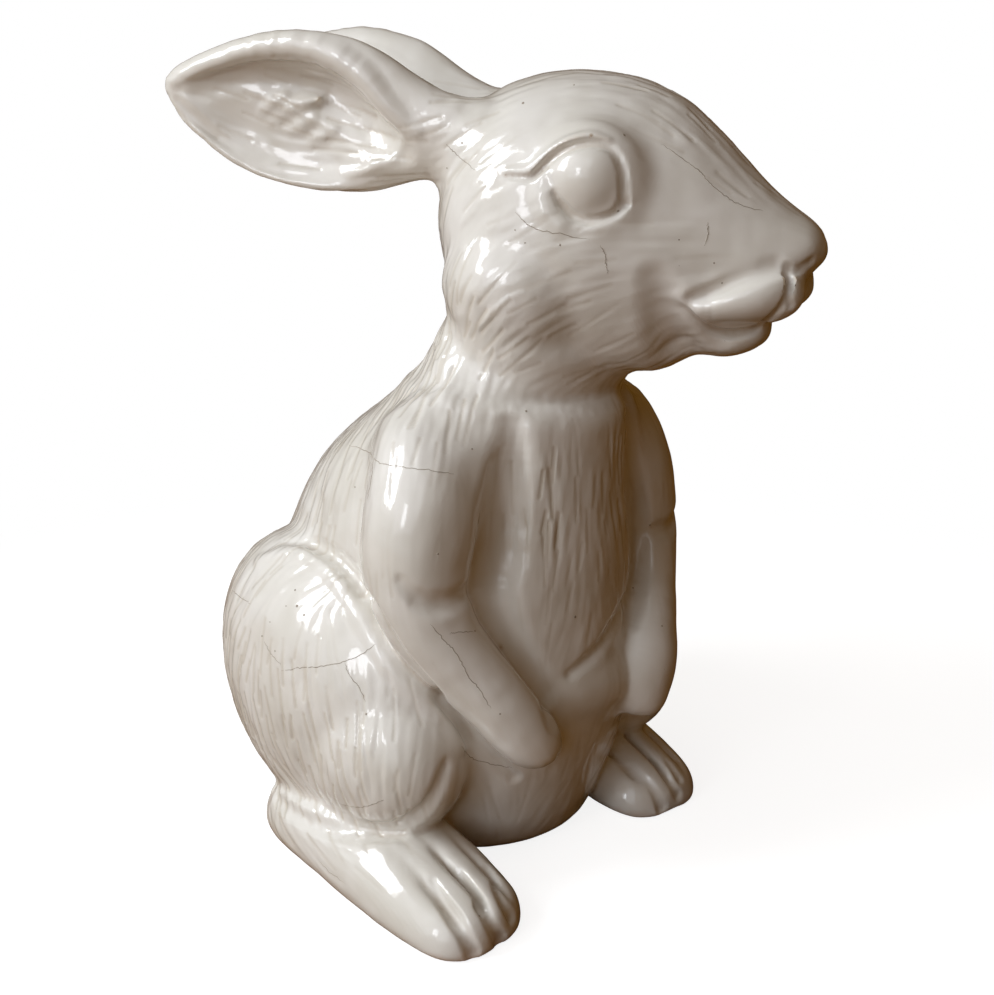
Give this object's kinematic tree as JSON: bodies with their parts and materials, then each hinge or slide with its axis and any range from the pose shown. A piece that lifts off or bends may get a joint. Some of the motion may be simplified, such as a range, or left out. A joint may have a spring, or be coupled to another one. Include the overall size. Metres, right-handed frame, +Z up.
{
  "type": "ceramic rabbit figurine",
  "caption": "Sitting rabbit figurine of hollow glazed earthenware, head turned to its left, ears laid back, with a vented flat base to stand on.",
  "frame": {"origin": "middle plane of the rabbit, on the surface that it stands on", "axes": "+Z up, the rabbit's chest faces -Y, and +X is its left side"},
  "size_m": [0.1749, 0.2208, 0.3006],
  "materials": {
    "glazed_earthenware": "off-white glossy glaze, finely crazed, over carved fur strokes"
  },
  "bodies": {
    "root": {"body_casting": "glazed_earthenware", "head_casting": "glazed_earthenware", "ear_right": "glazed_earthenware", "ear_left": "glazed_earthenware", "foreleg_right": "glazed_earthenware", "foreleg_left": "glazed_earthenware", "hind_foot_right": "glazed_earthenware", "hind_foot_left": "glazed_earthenware", "tail": "glazed_earthenware"}
  },
  "joints": []
}
